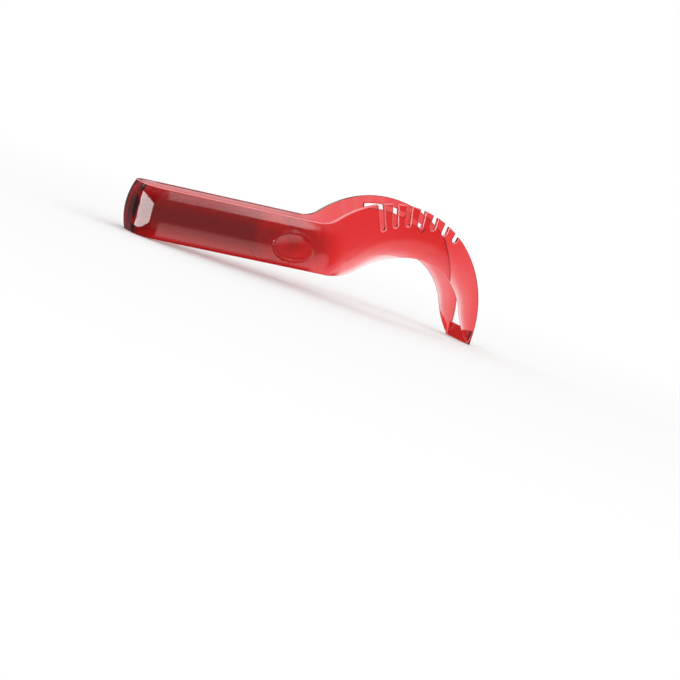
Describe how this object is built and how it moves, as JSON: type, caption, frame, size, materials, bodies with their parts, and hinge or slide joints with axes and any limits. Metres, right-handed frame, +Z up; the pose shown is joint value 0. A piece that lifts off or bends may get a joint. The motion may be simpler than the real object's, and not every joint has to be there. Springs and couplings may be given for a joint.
{
  "type": "watermelon slicer",
  "caption": "Sprung U-shaped handle that runs on into arched knife arms, joined at their tips by a cutting bar, for slicing and lifting out wedges of melon.",
  "frame": {"origin": "middle of the footprint, on the surface that the slicer stands on with its rear foot and its two tips", "axes": "+X from the rear of the handle to the tips, +Y from the arm with the comb to the arm with the windows, +Z up"},
  "size_m": [0.2611, 0.0406, 0.0753],
  "materials": {
    "grip": "deep red translucent plastic, glossy",
    "inlay": "red translucent plastic, glossy, dished",
    "arm": "bright red translucent plastic, glossy, paler at the thin knife edges",
    "bar": "deep red translucent plastic, glossy"
  },
  "bodies": {
    "rear_bow": {"rear_bow": "grip"},
    "near_handle": {"near_handle_panel": "grip", "near_thumb_rest": "inlay"},
    "far_handle": {"far_handle_panel": "grip", "far_thumb_rest": "inlay"},
    "near_arm": {"near_arch": "arm", "near_leg": "arm"},
    "far_arm": {"far_arch": "arm", "far_leg": "arm"},
    "crossbar": {"cutter_bar": "bar"}
  },
  "joints": [
    {"name": "near_squeeze", "type": "hinge", "parent": "rear_bow", "child": "near_handle", "pos_m": [-0.11042, -0.0155, 0.01777], "axis": [-0.1047, 0, 0.9945], "range_deg": [0, 2.5], "stiffness_Nm_per_rad": 4},
    {"name": "far_squeeze", "type": "hinge", "parent": "rear_bow", "child": "far_handle", "pos_m": [-0.11042, 0.0155, 0.01777], "axis": [-0.1047, 0, 0.9945], "range_deg": [-2.5, 0]},
    {"name": "near_arm_flex", "type": "hinge", "parent": "near_handle", "child": "near_arm", "pos_m": [-0.00584, -0.018, 0.02878], "axis": [-0.1047, 0, 0.9945], "range_deg": [-4.6, 0]},
    {"name": "far_arm_flex", "type": "hinge", "parent": "far_handle", "child": "far_arm", "pos_m": [-0.00584, 0.018, 0.02878], "axis": [-0.1047, 0, 0.9945], "range_deg": [0, 4.6]},
    {"name": "bar_turn", "type": "hinge", "parent": "near_arm", "child": "crossbar", "pos_m": [0.12935, -0.0155, 0.00531], "axis": [-0.1047, 0, 0.9945], "range_deg": [0, 2.1]}
  ],
  "couplings": [
    {"joint": "far_squeeze", "follows": "near_squeeze", "ratio": -1},
    {"joint": "near_arm_flex", "follows": "near_squeeze", "ratio": -1.7968},
    {"joint": "far_arm_flex", "follows": "near_squeeze", "ratio": 1.7968},
    {"joint": "bar_turn", "follows": "near_squeeze", "ratio": 0.79675}
  ]
}
